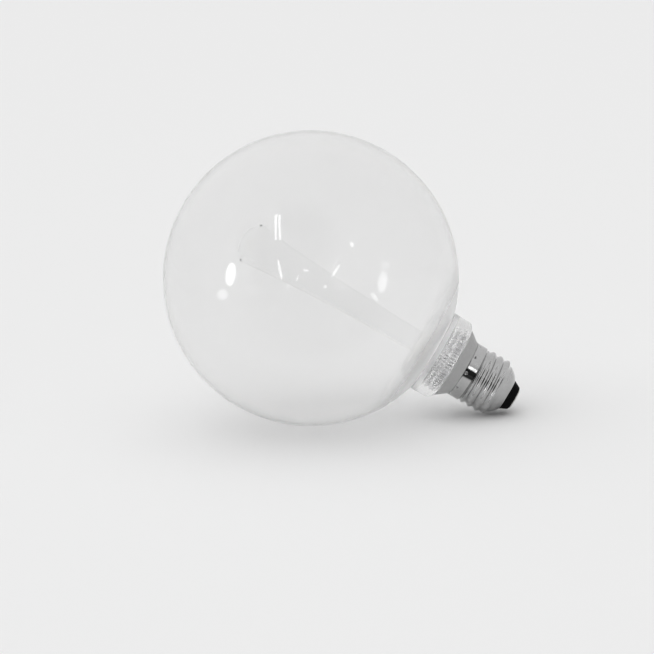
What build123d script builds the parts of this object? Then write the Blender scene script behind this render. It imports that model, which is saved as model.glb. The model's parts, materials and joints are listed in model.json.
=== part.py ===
from build123d import *
import os
from math import acos, asin, atan, cos, degrees, hypot, sin, sqrt, tan

# A globe bulb with a screw cap, lying on its side: it rests on the globe and on the last turn of the thread.
# Lengths are in millimetres. A station is a distance along the axis from the globe's centre towards the cap.

# Glass globe
globe_diameter = 128.0
glass_wall = 0.9
rim_rounding = 0.4
cement_gap = 0.2

# Clear moulded base: a flange under the globe and a cone that stands inside it
base_diameter = 37.6
base_height = 10.1
base_rounding = 3.0
seat_width = 1.6
cone_height = 7.1
cone_draft = 1.5
cone_rounding = 1.0
cone_clearance = 0.3
bore_diameter = 18.6
lip_diameter = 16.0
lip_thickness = 1.1

# Faceted bore of the base
facet_count = 48
facet_rows = 5
facet_step = 0.2
facet_depth = 0.8

# Light guide
guide_foot_thickness = 1.4
guide_stem_diameter = 9.6
guide_head_diameter = 18.4
guide_length = 84.7
guide_dome = 4.2
guide_clearance = 0.15

# LED board and heat sink
led_board_thickness = 1.2
led_board_clearance = 0.2
led_count = 6
led_size = 2.8
led_height = 0.7
led_circle = 9.2
pad_thickness = 0.4
pad_margin = 0.3
sink_clearance = 0.3
sink_top_thickness = 2.0
sink_wall = 1.4
sink_flange_diameter = 25.2
sink_flange_thickness = 1.5

# Grey collar with the spigot that carries the cap
collar_step = 2.7
collar_height = 5.3
collar_land = 0.4
collar_neck = 0.6
collar_blend = 0.99
collar_clearance = 0.2
collar_bore_diameter = 20.4
spigot_setback = 3.8
spigot_clearance = 0.1

# Screw cap
crest_diameter = 26.2
root_diameter = 24.2
thread_pitch = 25.4 / 7
thread_runout = 0.836
ridge_width = 2.7
skirt_diameter = 25.7
skirt_height = 5.2
skirt_step = 0.6
shell_bore_diameter = 23.4
shell_length = 22.1
shoulder_height = 5.5
shoulder_inset = 0.5
shoulder_radius = 9.0
mouth_diameter = 14.3
mouth_lip = 0.4
bore_taper = 1.6
stake_count = 10
stake_diameter = 1.5
stake_depth = 0.45
stake_setback = 1.1
stake_turn = 10.0

# Insulator and contact
insulator_height = 3.5
insulator_end_diameter = 10.6
insulator_rounding = 0.5
insulator_clearance = 0.05
insulator_grip = 0.55
contact_diameter = 9.2
contact_thickness = 0.5
contact_rounding = 0.3
nail_diameter = 2.4
nail_length = 7.0
nail_clearance = 0.1

# Driver board: its front face lies this far from the axis
board_offset = 2.6
board_thickness = 1.2
board_gap = 1.2
board_end_gap = 0.6
board_clearance = 0.15

# Parts on the driver board, with their places across the board and along it as a share of its length
can_diameter = 8.0
can_length = 11.5
can_groove = 0.4
can_groove_setback = 1.8
can_place = (4.1, 0.31)
core_diameter = 6.4
core_height = 7.0
core_flange = 0.9
core_stem_diameter = 2.6
core_place = (-4.6, 0.245)
winding_diameter = 5.6
winding_clearance = 0.05
film_width = 3.6
film_length = 6.5
film_height = 6.0
film_rounding = 0.5
film_place = (-4.6, 0.61)
bridge_width = 4.0
bridge_length = 4.6
bridge_height = 2.4
bridge_draft = 0.4
bridge_place = (4.4, 0.147)
fuse_diameter = 2.4
fuse_length = 6.4
fuse_rounding = 0.5
fuse_place = (-5.4, 0.9)
chip_width = 3.9
chip_length = 4.9
chip_height = 1.5
chip_place = (0.0, 0.333)
resistor_width = 1.25
resistor_length = 2.0
resistor_height = 0.55
resistor_count = 3
resistor_spacing = 4.2
resistor_place = (0.0, 0.676)

# Wires
led_wire_diameter = 1.0
led_wire_spacing = 2.4
led_wire_overlap = 1.6
led_wire_hole = 1.6
lead_diameter = 0.8
lead_bend = 0.9
live_lead_setback = 1.2
neutral_lead_offset = 7.6
neutral_lead_setback = 2.6
neutral_lead_rise = 1.4
neutral_lead_clearance = 0.15

# Radii and stations worked out from the sizes above
globe_radius = globe_diameter / 2
inner_globe_radius = globe_radius - glass_wall
seat_radius = globe_radius + cement_gap
base_radius = base_diameter / 2
opening_radius = base_radius - seat_width
cone_root_radius = opening_radius - cone_clearance
cone_top_radius = cone_root_radius - cone_draft
bore_radius = bore_diameter / 2
lip_radius = lip_diameter / 2
collar_radius = base_radius - collar_step
collar_bore_radius = collar_bore_diameter / 2
sink_flange_radius = sink_flange_diameter / 2
sink_radius = bore_radius - sink_clearance
crest_radius = crest_diameter / 2
root_radius = root_diameter / 2
skirt_radius = skirt_diameter / 2
shell_bore_radius = shell_bore_diameter / 2
inner_shoulder_radius = root_radius - shoulder_inset - mouth_lip
mouth_radius = mouth_diameter / 2
contact_radius = contact_diameter / 2
nail_radius = nail_diameter / 2

seat_station = sqrt(seat_radius**2 - base_radius**2)
cone_root_station = sqrt(seat_radius**2 - cone_root_radius**2)
cone_top_station = seat_station - cone_height
lip_station = cone_top_station + guide_foot_thickness
led_board_station = lip_station + lip_thickness
pad_station = led_board_station + led_board_thickness
sink_station = pad_station + pad_thickness
base_foot_station = seat_station + base_height
facet_length = base_height - (seat_station - cone_root_station)
facet_station = base_foot_station - facet_length
ledge_station = base_foot_station + sink_flange_thickness
shell_station = base_foot_station + collar_height
skirt_end_station = shell_station + skirt_height
shell_end_station = shell_station + shell_length
shoulder_station = shell_end_station - shoulder_height
thread_station = skirt_end_station + ridge_width / 2
thread_end_station = shoulder_station + thread_runout
thread_length = thread_end_station - thread_station
insulator_end_station = shell_end_station + insulator_height
contact_end_station = insulator_end_station + contact_thickness
nail_station = insulator_end_station - nail_length
spigot_end_station = shoulder_station - bore_taper - spigot_setback
board_station = ledge_station + board_gap
board_end_station = nail_station - board_end_gap
board_length = board_end_station - board_station

# The lying lamp: the globe and the end of the thread's ridge both touch the floor. The ridge is half an
# ellipse, so how far it hangs below its centre depends on the tilt, which settles in a few rounds.
ridge_height = crest_radius - root_radius
root_slope = atan(root_radius / thread_end_station)
tilt = 0
for settling_round in range(20):
    ridge_drop = hypot(ridge_height * cos(tilt), ridge_width / 2 * sin(tilt))
    tilt = asin((globe_radius - ridge_drop) / hypot(thread_end_station, root_radius)) - root_slope

# The box round the lying lamp is centred over the origin, from the globe to the rounded edge of the contact
rounded_reach = (contact_end_station - contact_rounding) * cos(tilt)
rounded_reach += (contact_radius - contact_rounding) * sin(tilt) + contact_rounding
globe_centre = ((globe_radius - rounded_reach) / 2, 0, globe_radius)

# Section plane: local x is a radius, local y is a station. Across plane: a slice square to the axis.
section = Plane(origin=globe_centre, x_dir=(sin(tilt), 0, cos(tilt)), z_dir=(0, 1, 0))
lamp_axis = Axis(globe_centre, section.y_dir)
across = Plane(origin=globe_centre, x_dir=section.x_dir, z_dir=section.y_dir)
board_front = section.offset(-board_offset)
board_back = section.offset(-board_offset - board_thickness)


def turn(radius, distance):
    """Angle about the globe's centre at which a circle of that radius lies that far from the axis."""
    return degrees(acos(distance / radius))


def arc_on_sphere(radius, wide, narrow):
    """Arc about the globe's centre between two distances from the axis, on the cap's side."""
    return CenterArc((0, 0), radius, turn(radius, wide), turn(radius, narrow) - turn(radius, wide))


def on_board(place):
    """Section point of a place given across the driver board and as a share of its length."""
    return (place[0], board_station + place[1] * board_length)


# Glass globe
with BuildPart() as glass_globe:
    with BuildSketch(section) as globe_profile:
        with BuildLine():
            outside = CenterArc((0, 0), globe_radius, -90, 90 + turn(globe_radius, opening_radius))
            inner_turn = turn(inner_globe_radius, opening_radius)
            inside = CenterArc((0, 0), inner_globe_radius, -90, 90 + inner_turn)
            Line(outside @ 1, inside @ 1)
            Line(outside @ 0, inside @ 0)
        make_face()
        fillet(globe_profile.vertices().group_by(Axis.Y)[-2:], radius=rim_rounding)
    revolve(axis=lamp_axis)
glass_globe.part.label = "glass_globe"

# Cement between the globe and the seat on the base
with BuildPart() as globe_cement:
    with BuildSketch(section):
        with BuildLine():
            on_globe = arc_on_sphere(globe_radius, base_radius - rim_rounding, opening_radius + rim_rounding)
            on_seat = arc_on_sphere(seat_radius, base_radius - rim_rounding, opening_radius + rim_rounding)
            Line(on_globe @ 0, on_seat @ 0)
            Line(on_globe @ 1, on_seat @ 1)
        make_face()
    revolve(axis=lamp_axis)
globe_cement.part.label = "globe_cement"

# Core of the faceted bore: rows of points round the axis, each of eight flat facets
core_levels = 2 * facet_rows
core_corners = 2 * facet_count
core_rings = []
for level in range(core_levels + 1):
    ring_plane = across.offset(facet_station + level * facet_length / core_levels)
    ring = []
    for corner in range(core_corners):
        point_rise = facet_depth * (level % 2) * (corner % 2)
        corner_radius = Vector(bore_radius + facet_step + point_rise, 0)
        ring.append(ring_plane.from_local_coords(corner_radius.rotate(Axis.Z, 360 / core_corners * corner)))
    core_rings.append(ring)
core_faces = [Face(Wire.make_polygon(core_rings[0])), Face(Wire.make_polygon(core_rings[-1]))]
for level in range(core_levels):
    for corner in range(core_corners):
        beside = (corner + 1) % core_corners
        lower, upper = core_rings[level : level + 2]
        cell = [lower[corner], lower[beside], upper[beside], upper[corner]]
        fold = (level + corner) % 2
        core_faces.append(Face(Wire.make_polygon([cell[fold], cell[fold + 1], cell[fold + 2]])))
        core_faces.append(Face(Wire.make_polygon([cell[fold], cell[fold + 2], cell[(fold + 3) % 4]])))
facet_core = Solid(Shell(core_faces))

# Clear base
with BuildPart() as crystal_base:
    with BuildSketch(section) as base_profile:
        with BuildLine():
            seat = arc_on_sphere(seat_radius, base_radius, cone_root_radius)
            cone_top = (cone_top_radius, cone_top_station)
            base_foot = (base_radius, base_foot_station)
            Line(seat @ 1, cone_top)
            Polyline(
                cone_top,
                (bore_radius, cone_top_station),
                (bore_radius, lip_station),
                (lip_radius, lip_station),
                (lip_radius, led_board_station),
                (bore_radius, led_board_station),
                (bore_radius, base_foot_station),
                base_foot,
                seat @ 0,
            )
        make_face()
        fillet(base_profile.vertices().sort_by_distance(cone_top)[0], radius=cone_rounding)
        fillet(base_profile.vertices().sort_by_distance(base_foot)[0], radius=base_rounding)
    revolve(axis=lamp_axis)
    add(facet_core, mode=Mode.SUBTRACT)
crystal_base.part.label = "crystal_base"

# Light guide
with BuildPart() as light_guide:
    guide_foot_radius = bore_radius - guide_clearance
    head_station = cone_top_station - guide_length
    with BuildSketch(section):
        with BuildLine():
            stem = (guide_stem_diameter / 2, cone_top_station)
            head = (guide_head_diameter / 2, head_station)
            flare = Bezier(
                stem,
                (stem[0], cone_top_station - guide_length * 0.5),
                (head[0] - (head[0] - stem[0]) * 0.5, head_station + guide_length * 0.25),
                head,
            )
            dome_radius = (head[0] ** 2 + guide_dome**2) / (2 * guide_dome)
            dome = RadiusArc(head, (0, head_station - guide_dome), dome_radius)
            Polyline(
                dome @ 1,
                (0, lip_station),
                (guide_foot_radius, lip_station),
                (guide_foot_radius, cone_top_station),
                stem,
            )
        make_face()
    revolve(axis=lamp_axis)
light_guide.part.label = "light_guide"

# LED board
with BuildPart() as led_board:
    with BuildSketch(across.offset(led_board_station)):
        Circle(bore_radius - led_board_clearance)
    extrude(amount=led_board_thickness)
led_board.part.label = "led_board"

# LEDs in a ring on the face of the board
with BuildPart() as led_chips:
    with BuildSketch(across.offset(led_board_station)):
        with PolarLocations(led_circle / 2, led_count):
            Rectangle(led_size, led_size)
    extrude(amount=-led_height)
led_chips.part.label = "led_chips"

# Thermal pad, with holes for the LED wires
led_wire_level = -(board_offset - led_wire_diameter / 2)
led_wire_points = [(side * led_wire_spacing / 2, -led_wire_level) for side in (-1, 1)]
with BuildPart() as thermal_pad:
    with BuildSketch(across.offset(pad_station)):
        Circle(sink_radius - pad_margin)
        with Locations(*led_wire_points):
            Circle(led_wire_hole / 2, mode=Mode.SUBTRACT)
    extrude(amount=pad_thickness)
thermal_pad.part.label = "thermal_pad"

# Heat sink cup and its flange
with BuildPart() as heat_sink:
    with BuildSketch(section):
        with BuildLine():
            Polyline(
                (0, sink_station),
                (sink_radius, sink_station),
                (sink_radius, base_foot_station),
                (sink_flange_radius, base_foot_station),
                (sink_flange_radius, ledge_station),
                (sink_radius - sink_wall, ledge_station),
                (sink_radius - sink_wall, sink_station + sink_top_thickness),
                (0, sink_station + sink_top_thickness),
                close=True,
            )
        make_face()
    revolve(axis=lamp_axis)
    with BuildSketch(across.offset(sink_station)):
        with Locations(*led_wire_points):
            Circle(led_wire_hole / 2)
    extrude(amount=sink_top_thickness, mode=Mode.SUBTRACT)
heat_sink.part.label = "heat_sink"

# Collar and spigot
with BuildPart() as base_collar:
    spigot_radius = shell_bore_radius - spigot_clearance
    neck_corner = (skirt_radius, shell_station - collar_neck)
    slope_height = collar_height - collar_land - collar_neck
    neck_turn = atan((collar_radius - skirt_radius) / slope_height)
    collar_rounding = collar_blend * collar_neck / tan(neck_turn / 2)
    with BuildSketch(section) as collar_profile:
        with BuildLine():
            Polyline(
                (sink_flange_radius + collar_clearance, base_foot_station),
                (collar_radius, base_foot_station),
                (collar_radius, base_foot_station + collar_land),
                neck_corner,
                (skirt_radius, shell_station),
                (spigot_radius, shell_station),
                (spigot_radius, spigot_end_station),
                (collar_bore_radius, spigot_end_station),
                (collar_bore_radius, ledge_station),
                (sink_flange_radius + collar_clearance, ledge_station),
                close=True,
            )
        make_face()
        fillet(collar_profile.vertices().sort_by_distance(neck_corner)[0], radius=collar_rounding)
    revolve(axis=lamp_axis)
base_collar.part.label = "base_collar"

# Path of the thread, which ends at the lowest line of the cap
thread_origin = across.offset(thread_station).origin
thread_end_plane = Plane(thread_origin, x_dir=-across.x_dir, z_dir=across.z_dir)
thread_plane = thread_end_plane.rotated((0, 0, -360 * thread_length / thread_pitch))
thread_path = thread_plane * Helix(thread_pitch, thread_length, root_radius)

# Screw shell: turned outline, rolled thread, bore and stake marks
with BuildPart() as screw_shell:
    shoulder_start = (root_radius - shoulder_inset, shoulder_station)
    mouth = (mouth_radius, shell_end_station)
    with BuildSketch(section):
        with BuildLine():
            shoulder = RadiusArc(shoulder_start, mouth, -shoulder_radius)
            Polyline(
                mouth,
                (0, shell_end_station),
                (0, shell_station),
                (skirt_radius, shell_station),
                (skirt_radius, skirt_end_station - skirt_step),
                (root_radius, skirt_end_station),
                (root_radius, shoulder_station - shoulder_inset),
                shoulder_start,
            )
        make_face()
    revolve(axis=lamp_axis)
    with BuildSketch(Plane(thread_path @ 0, x_dir=thread_plane.x_dir, z_dir=thread_path % 0)):
        Ellipse(ridge_height, ridge_width / 2)
    sweep(path=thread_path, is_frenet=True)
    with BuildSketch(section):
        with BuildLine():
            inner_mouth = (mouth_radius, shell_end_station - mouth_lip)
            inner_shoulder = (inner_shoulder_radius, shoulder_station)
            RadiusArc(inner_shoulder, inner_mouth, -(shoulder_radius - mouth_lip))
            Polyline(
                inner_mouth,
                mouth,
                (0, shell_end_station),
                (0, shell_station),
                (shell_bore_radius, shell_station),
                (shell_bore_radius, shoulder_station - bore_taper),
                inner_shoulder,
            )
        make_face()
    revolve(axis=lamp_axis, mode=Mode.SUBTRACT)
    stake_ball = stake_diameter**2 / (8 * stake_depth) + stake_depth / 2
    with Locations(across.offset(shell_station + stake_setback)):
        with PolarLocations(skirt_radius + stake_ball - stake_depth, stake_count, stake_turn):
            Sphere(stake_ball, mode=Mode.SUBTRACT)
screw_shell.part.label = "screw_shell"

# Insulator, gripped behind the mouth of the shell
with BuildPart() as insulator:
    plug_radius = mouth_radius - insulator_clearance
    grip_radius = plug_radius + insulator_grip * (inner_shoulder_radius - mouth_radius)
    grip_station = shell_end_station - mouth_lip - insulator_grip * (shoulder_height - mouth_lip)
    with BuildSketch(section) as insulator_profile:
        end_corner = (insulator_end_diameter / 2, insulator_end_station)
        with BuildLine():
            Polyline(
                (nail_radius + nail_clearance, grip_station),
                (grip_radius, grip_station),
                (plug_radius, shell_end_station - mouth_lip),
                (plug_radius, shell_end_station),
                end_corner,
                (nail_radius + nail_clearance, insulator_end_station),
                close=True,
            )
        make_face()
        fillet(insulator_profile.vertices().sort_by_distance(end_corner)[0], radius=insulator_rounding)
    revolve(axis=lamp_axis)
insulator.part.label = "insulator"

# Centre contact with its nail
with BuildPart() as centre_contact:
    with BuildSketch(section) as contact_profile:
        contact_corner = (contact_radius, contact_end_station)
        with BuildLine():
            Polyline(
                (0, nail_station),
                (nail_radius, nail_station),
                (nail_radius, insulator_end_station),
                (contact_radius, insulator_end_station),
                contact_corner,
                (0, contact_end_station),
                close=True,
            )
        make_face()
        fillet(contact_profile.vertices().sort_by_distance(contact_corner)[0], radius=contact_rounding)
    revolve(axis=lamp_axis)
centre_contact.part.label = "centre_contact"

# Driver board, as wide as the bore allows at its back face
board_reach = collar_bore_radius - board_clearance
board_width = 2 * sqrt(board_reach**2 - (board_offset + board_thickness) ** 2)
with BuildPart() as driver_board:
    with BuildSketch(board_front):
        with Locations(on_board((0, 0.5))):
            Rectangle(board_width, board_length)
    extrude(amount=-board_thickness)
driver_board.part.label = "driver_board"

# Smoothing capacitor: a can lying along the board
with BuildPart() as smoothing_capacitor:
    can_origin = board_front.offset(can_diameter / 2).from_local_coords(on_board(can_place))
    can_plane = Plane(can_origin, x_dir=section.x_dir, z_dir=section.z_dir)
    with BuildSketch(can_plane):
        with BuildLine():
            Polyline(
                (0, 0),
                (can_diameter / 2, 0),
                (can_diameter / 2, can_groove_setback - can_groove),
                (can_diameter / 2 - can_groove, can_groove_setback),
                (can_diameter / 2, can_groove_setback + can_groove),
                (can_diameter / 2, can_length),
                (0, can_length),
                close=True,
            )
        make_face()
    revolve(axis=Axis(can_origin, section.y_dir))
smoothing_capacitor.part.label = "smoothing_capacitor"

# Film capacitor
with BuildPart() as film_capacitor:
    with BuildSketch(board_front):
        with Locations(on_board(film_place)):
            Rectangle(film_width, film_length)
    extrude(amount=film_height)
    fillet(film_capacitor.edges().filter_by(Axis.Y), radius=film_rounding)
film_capacitor.part.label = "film_capacitor"

# Inductor: drum core and winding
with BuildPart() as inductor_core:
    with BuildSketch(board_front):
        with Locations(on_board(core_place)):
            Circle(core_diameter / 2)
    extrude(amount=core_flange)
    with BuildSketch(board_front.offset(core_flange)):
        with Locations(on_board(core_place)):
            Circle(core_stem_diameter / 2)
    extrude(amount=core_height - 2 * core_flange)
    with BuildSketch(board_front.offset(core_height - core_flange)):
        with Locations(on_board(core_place)):
            Circle(core_diameter / 2)
    extrude(amount=core_flange)
inductor_core.part.label = "inductor_core"

with BuildPart() as inductor_winding:
    with BuildSketch(board_front.offset(core_flange + winding_clearance)):
        with Locations(on_board(core_place)):
            Circle(winding_diameter / 2)
            Circle(core_stem_diameter / 2 + winding_clearance, mode=Mode.SUBTRACT)
    extrude(amount=core_height - 2 * core_flange - 2 * winding_clearance)
inductor_winding.part.label = "inductor_winding"

# Bridge rectifier with tapered sides
with BuildPart() as bridge_rectifier:
    with BuildSketch(board_front):
        with Locations(on_board(bridge_place)):
            Rectangle(bridge_width, bridge_length)
    with BuildSketch(board_front.offset(bridge_height)):
        with Locations(on_board(bridge_place)):
            Rectangle(bridge_width - bridge_draft, bridge_length - bridge_draft)
    loft()
bridge_rectifier.part.label = "bridge_rectifier"

# Fusible resistor lying across the board
with BuildPart() as fusible_resistor:
    fuse_origin = board_front.offset(fuse_diameter / 2).from_local_coords(on_board(fuse_place))
    with BuildSketch(Plane(fuse_origin, x_dir=section.y_dir, z_dir=section.x_dir)):
        Circle(fuse_diameter / 2)
    extrude(amount=fuse_length / 2, both=True)
    fillet(fusible_resistor.edges().filter_by(GeomType.CIRCLE), radius=fuse_rounding)
fusible_resistor.part.label = "fusible_resistor"

# Driver chip and chip resistors on the back of the board
with BuildPart() as driver_chip:
    with BuildSketch(board_back):
        with Locations(on_board(chip_place)):
            Rectangle(chip_length, chip_width)
    extrude(amount=-chip_height)
driver_chip.part.label = "driver_chip"

with BuildPart() as chip_resistors:
    with BuildSketch(board_back):
        with Locations(on_board(resistor_place)):
            with GridLocations(resistor_spacing, 0, resistor_count, 1):
                Rectangle(resistor_width, resistor_length)
    extrude(amount=-resistor_height)
chip_resistors.part.label = "chip_resistors"

# LED wires, straight up through the heat sink to the underside of the LED board
with BuildPart() as led_wires:
    with BuildSketch(across.offset(pad_station)):
        with Locations(*led_wire_points):
            Circle(led_wire_diameter / 2)
    extrude(amount=board_station + led_wire_overlap - pad_station)
led_wires.part.label = "led_wires"

# Live lead, from the board to the head of the contact's nail
with BuildPart() as live_wire:
    live_place = (0, board_end_station - live_lead_setback)
    live_foot = board_front.from_local_coords(live_place)
    live_corner = section.from_local_coords(live_place)
    live_end = section.from_local_coords((0, nail_station))
    with BuildLine():
        live_path = FilletPolyline(live_foot, live_corner, live_end, radius=lead_bend)
    with BuildSketch(Plane(live_foot, z_dir=live_path % 0)):
        Circle(lead_diameter / 2)
    sweep(path=live_path)
live_wire.part.label = "live_wire"

# Neutral lead, from the board to the wall of the shell beyond the spigot
with BuildPart() as neutral_wire:
    neutral_plane = board_front.offset(neutral_lead_rise)
    neutral_height = board_offset - neutral_lead_rise
    shell_reach = shell_bore_radius - neutral_lead_clearance
    neutral_reach = sqrt(shell_reach**2 - (neutral_height + lead_diameter / 2) ** 2)
    neutral_station = spigot_end_station + neutral_lead_setback
    neutral_foot = board_front.from_local_coords((-neutral_lead_offset, neutral_station))
    neutral_corner = neutral_plane.from_local_coords((-neutral_lead_offset, neutral_station))
    neutral_end = neutral_plane.from_local_coords((-neutral_reach, neutral_station))
    with BuildLine():
        neutral_path = FilletPolyline(neutral_foot, neutral_corner, neutral_end, radius=lead_bend)
    with BuildSketch(Plane(neutral_foot, z_dir=neutral_path % 0)):
        Circle(lead_diameter / 2)
    sweep(path=neutral_path)
neutral_wire.part.label = "neutral_wire"

pieces = [
    glass_globe,
    globe_cement,
    crystal_base,
    light_guide,
    led_board,
    led_chips,
    thermal_pad,
    heat_sink,
    base_collar,
    screw_shell,
    insulator,
    centre_contact,
    driver_board,
    smoothing_capacitor,
    film_capacitor,
    inductor_core,
    inductor_winding,
    bridge_rectifier,
    fusible_resistor,
    driver_chip,
    chip_resistors,
    led_wires,
    live_wire,
    neutral_wire,
]
os.makedirs("parts", exist_ok=True)
for piece in pieces:
    export_step(piece.part, f"parts/{piece.part.label}.step")
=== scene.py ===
import json
import math

import bmesh
import bpy
from mathutils import Matrix, Vector


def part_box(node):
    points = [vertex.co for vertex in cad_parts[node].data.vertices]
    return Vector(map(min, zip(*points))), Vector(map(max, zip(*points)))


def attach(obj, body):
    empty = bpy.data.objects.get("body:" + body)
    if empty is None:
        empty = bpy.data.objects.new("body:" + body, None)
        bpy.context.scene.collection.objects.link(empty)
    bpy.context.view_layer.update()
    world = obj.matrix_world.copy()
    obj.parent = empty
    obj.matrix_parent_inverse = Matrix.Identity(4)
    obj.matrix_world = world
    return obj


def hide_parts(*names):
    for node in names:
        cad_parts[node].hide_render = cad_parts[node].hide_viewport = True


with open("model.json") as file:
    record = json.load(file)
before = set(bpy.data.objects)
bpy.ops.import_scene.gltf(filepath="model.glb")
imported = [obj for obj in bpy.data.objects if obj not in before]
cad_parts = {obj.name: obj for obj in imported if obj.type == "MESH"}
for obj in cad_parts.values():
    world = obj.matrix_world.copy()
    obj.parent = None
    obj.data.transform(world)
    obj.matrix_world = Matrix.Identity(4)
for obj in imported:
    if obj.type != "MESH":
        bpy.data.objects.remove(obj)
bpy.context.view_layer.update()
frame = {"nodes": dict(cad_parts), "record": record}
cadNodes = frame["nodes"]
mm = 0.001
print("frame loaded:", len(cadNodes), "nodes")

scene = bpy.context.scene
scene.view_settings.view_transform = "Standard"
glassBounces = 32  # the globe, the guide and the base are many walls deep
scene.cycles.max_bounces = glassBounces
scene.cycles.transmission_bounces = glassBounces
scene.cycles.transparent_max_bounces = glassBounces
scene.cycles.use_denoising = True

# The lamp's own frame: origin at the globe's centre, x up, y to the viewer, z along the axis to the cap
contactMount = next(m for m in frame["record"]["mounts"] if m["name"] == "contact_face")
lampAxis = Vector(contactMount["axis"]).normalized()
globeLow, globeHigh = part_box("glass_globe")
globeCentre = (globeLow + globeHigh) / 2
towardsViewer = Vector((0, -1, 0))
lampUp = towardsViewer.cross(lampAxis).normalized()
lampFrame = Matrix((lampUp, towardsViewer, lampAxis)).transposed().to_4x4()
lampFrame.translation = globeCentre
toLamp = lampFrame.inverted()


def measureNode(name):
    # lowest and highest station and widest radius of a CAD node, in millimetres
    points = [toLamp @ v.co / mm for v in cadNodes[name].data.vertices]
    stations = [p.z for p in points]
    return min(stations), max(stations), max(math.hypot(p.x, p.y) for p in points)


def onLamp(radius, turn, station):
    return lampFrame @ (Vector((radius * math.cos(turn), radius * math.sin(turn), station)) * mm)


def ringPoints(radius, station, segments):
    return [onLamp(radius, 2 * math.pi * k / segments, station) for k in range(segments)]


# How the turned pieces are divided
turning = {"segments": 96, "cornerSteps": 6, "sharpAngle": 32.0, "poleRadius": 1e-5}


def arcPoints(centre, radius, startTurn, endTurn, steps):
    points = []
    for step in range(steps + 1):
        turn = startTurn + (endTurn - startTurn) * step / steps
        points.append((centre[0] + radius * math.cos(turn), centre[1] + radius * math.sin(turn)))
    return points


def roundedProfile(corners):
    # corners are (radius, station, rounding); a rounding above 0 becomes an arc
    profile = []
    steps = turning["cornerSteps"]
    for index, (radius, station, rounding) in enumerate(corners):
        here = Vector((radius, station))
        if rounding == 0:
            profile.append((radius, station))
            continue
        before = (Vector(corners[index - 1][:2]) - here).normalized()
        after = (Vector(corners[(index + 1) % len(corners)][:2]) - here).normalized()
        halfTurn = before.angle(after) / 2
        centre = here + (before + after).normalized() * rounding / math.sin(halfTurn)
        first = here + before * rounding / math.tan(halfTurn) - centre
        last = here + after * rounding / math.tan(halfTurn) - centre
        for step in range(steps + 1):
            spoke = first.slerp(last, step / steps, first) * rounding
            profile.append((centre.x + spoke.x, centre.y + spoke.y))
    return profile


def makePiece(name, mesh, material):
    piece = bpy.data.objects.new(name, mesh)
    scene.collection.objects.link(piece)
    mesh.materials.clear()
    mesh.materials.append(material)
    return piece


def latheMesh(name, profile, segments=turning["segments"], sharpAngle=turning["sharpAngle"]):
    # a closed profile turned about the lamp's axis; a point on the axis becomes a pole
    form = bmesh.new()
    rings = []
    for radius, station in profile:
        count = 1 if radius < turning["poleRadius"] else segments
        rings.append([form.verts.new(p) for p in ringPoints(radius, station, segments)[:count]])
    for ring, nextRing in zip(rings, rings[1:] + rings[:1]):
        joinRings(form, ring, nextRing)
    bmesh.ops.recalc_face_normals(form, faces=form.faces)
    for face in form.faces:
        face.smooth = True
    mesh = bpy.data.meshes.new(name)
    form.to_mesh(mesh)
    form.free()
    mesh.set_sharp_from_angle(angle=math.radians(sharpAngle))
    return mesh


def joinRings(form, ring, nextRing):
    count = max(len(ring), len(nextRing))
    if count == 1:
        return
    for k in range(count):
        corners = [ring[k % len(ring)], ring[(k + 1) % len(ring)]]
        corners += [nextRing[(k + 1) % len(nextRing)], nextRing[k % len(nextRing)]]
        form.faces.new(list(dict.fromkeys(corners)))


# Shader groups that several finishes share
markLook = {"smearDetail": 5.0, "smearWarp": 1.2, "speckDetail": 2.0, "clean": 0.15, "marked": 0.4}
grainLook = {"detail": 3.0, "roughness": 0.6}


def newGroup(name, inputs, outputs):
    group = bpy.data.node_groups.new(name, "ShaderNodeTree")
    for socketName, value in inputs.items():
        socket = group.interface.new_socket(socketName, in_out="INPUT", socket_type="NodeSocketFloat")
        socket.default_value = value
    for socketName in outputs:
        group.interface.new_socket(socketName, in_out="OUTPUT", socket_type="NodeSocketFloat")
    return group, group.nodes.new("NodeGroupInput"), group.nodes.new("NodeGroupOutput")


def makeHandlingMarks():
    # soft smears and fine specks left by handling: a mask from 0 to 1
    group, given, result = newGroup("handlingMarks", {"Smear Scale": 30.0, "Speck Scale": 400.0}, ["Mask"])
    place = group.nodes.new("ShaderNodeTexCoord")
    smear = group.nodes.new("ShaderNodeTexNoise")
    smear.inputs["Detail"].default_value = markLook["smearDetail"]
    smear.inputs["Distortion"].default_value = markLook["smearWarp"]
    speck = group.nodes.new("ShaderNodeTexNoise")
    speck.inputs["Detail"].default_value = markLook["speckDetail"]
    mixed = group.nodes.new("ShaderNodeMath")
    mixed.operation = "MULTIPLY"
    spread = group.nodes.new("ShaderNodeMapRange")
    spread.inputs["From Min"].default_value = markLook["clean"]
    spread.inputs["From Max"].default_value = markLook["marked"]
    group.links.new(place.outputs["Object"], smear.inputs["Vector"])
    group.links.new(place.outputs["Object"], speck.inputs["Vector"])
    group.links.new(given.outputs["Smear Scale"], smear.inputs["Scale"])
    group.links.new(given.outputs["Speck Scale"], speck.inputs["Scale"])
    group.links.new(smear.outputs["Fac"], mixed.inputs[0])
    group.links.new(speck.outputs["Fac"], mixed.inputs[1])
    group.links.new(mixed.outputs[0], spread.inputs["Value"])
    group.links.new(spread.outputs["Result"], result.inputs["Mask"])
    return group


def makeMouldGrain():
    # the fine even grain of a moulded or pressed surface, as a height
    group, given, result = newGroup("mouldGrain", {"Grain Scale": 2500.0}, ["Height"])
    place = group.nodes.new("ShaderNodeTexCoord")
    grain = group.nodes.new("ShaderNodeTexNoise")
    grain.inputs["Detail"].default_value = grainLook["detail"]
    grain.inputs["Roughness"].default_value = grainLook["roughness"]
    group.links.new(place.outputs["Object"], grain.inputs["Vector"])
    group.links.new(given.outputs["Grain Scale"], grain.inputs["Scale"])
    group.links.new(grain.outputs["Fac"], result.inputs["Height"])
    return group


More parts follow.
